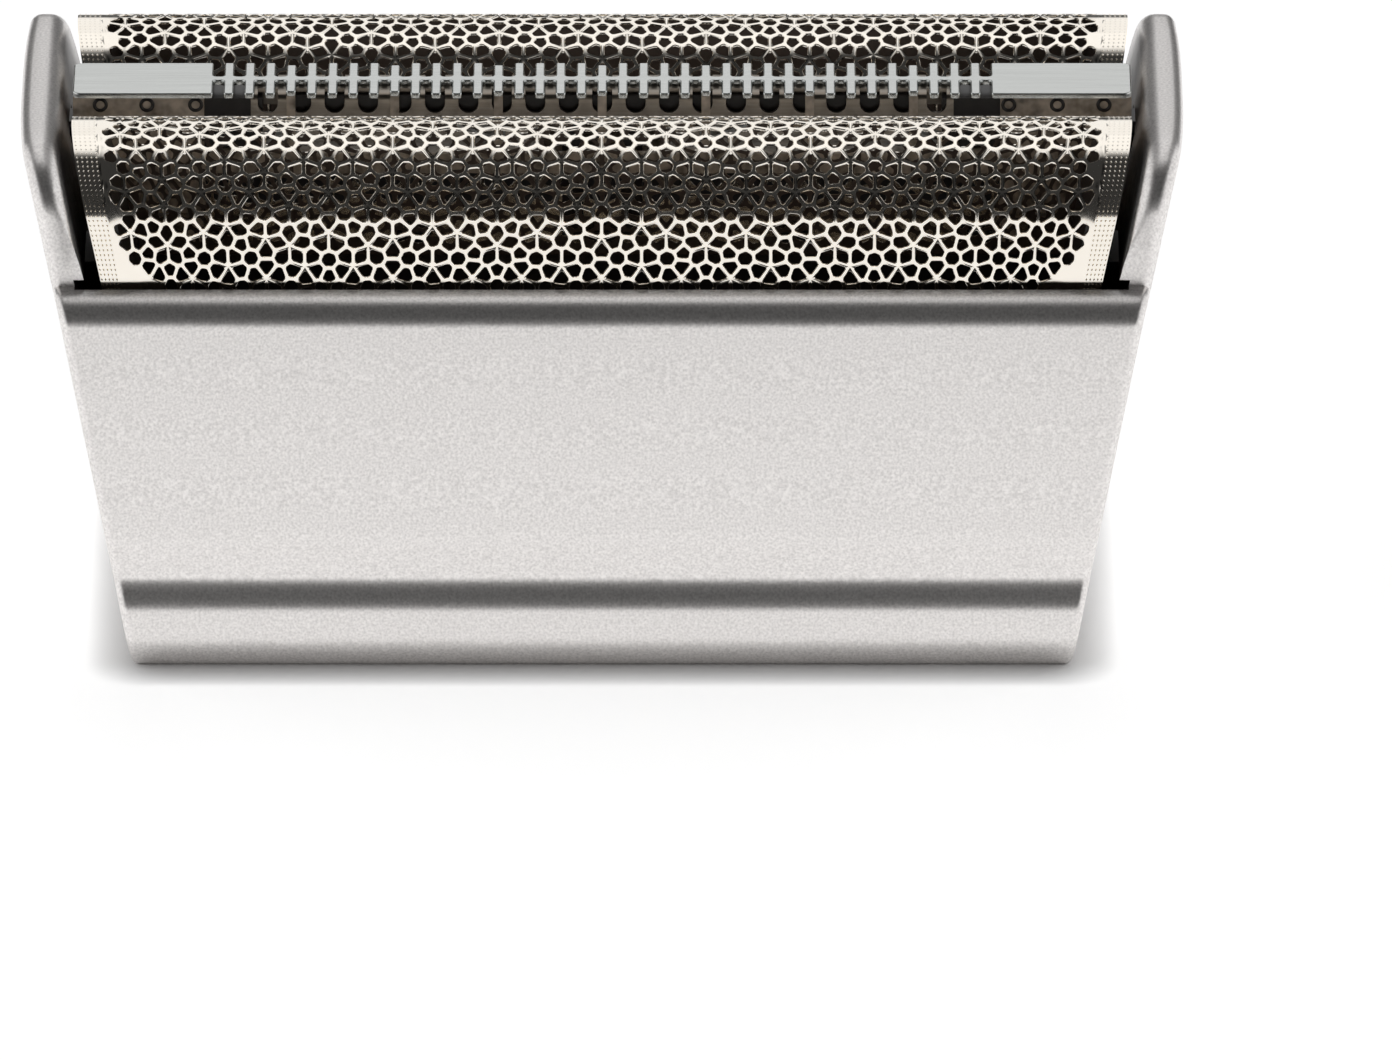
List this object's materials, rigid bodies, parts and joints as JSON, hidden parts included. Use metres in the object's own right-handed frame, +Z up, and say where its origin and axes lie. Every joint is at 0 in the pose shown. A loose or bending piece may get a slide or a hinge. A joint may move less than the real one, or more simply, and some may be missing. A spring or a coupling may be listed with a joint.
{
  "type": "shaver foil head",
  "caption": "Clip-on shaver head: silver foil frame with raised end cheeks, arched perforated foils floating side by side and a sprung long-hair trimmer comb between them.",
  "frame": {"origin": "centre of the bottom rim, on the plane the head stands on", "axes": "+X along the foils, the front faces -Y, +Z up from the bottom rim to the foils"},
  "size_m": [0.0548, 0.028, 0.0252],
  "materials": {
    "silver_paint": "silver metallic paint over moulded plastic",
    "dark_plastic": "moulded, brown black",
    "foil_steel": "bright thin foil",
    "comb_steel": "satin, brushed",
    "smoke_plastic": "smoke brown, moulded",
    "spring_steel": "plain strip"
  },
  "bodies": {
    "frame": {"outer_frame": "silver_paint", "inner_frame": "dark_plastic", "trimmer_spring_left": "spring_steel", "trimmer_spring_right": "spring_steel"},
    "front_foil_unit": {"front_foil": "foil_steel", "front_foil_carrier": "dark_plastic"},
    "rear_foil_unit": {"rear_foil": "foil_steel", "rear_foil_carrier": "dark_plastic"},
    "trimmer": {"trimmer_comb": "comb_steel", "trimmer_holder": "smoke_plastic", "blade_leaf_left": "spring_steel", "blade_leaf_right": "spring_steel"},
    "cutter_comb": {"trimmer_blade": "comb_steel", "trimmer_driver": "dark_plastic"}
  },
  "joints": [
    {"name": "front_foil_float", "type": "slide", "parent": "frame", "child": "front_foil_unit", "axis": [0, 0, 1], "range_m": [0, 0.0008]},
    {"name": "rear_foil_float", "type": "slide", "parent": "frame", "child": "rear_foil_unit", "axis": [0, 0, 1], "range_m": [0, 0.0008]},
    {"name": "trimmer_float", "type": "slide", "parent": "frame", "child": "trimmer", "axis": [0, 0, 1], "range_m": [-0.0012, 0], "stiffness_N_per_m": 300, "springref_m": 0.0008, "deforming": ["trimmer_spring_left", "trimmer_spring_right"]},
    {"name": "trimmer_stroke", "type": "slide", "parent": "trimmer", "child": "cutter_comb", "axis": [1, 0, 0], "range_m": [-0.0009, 0.0009]}
  ]
}
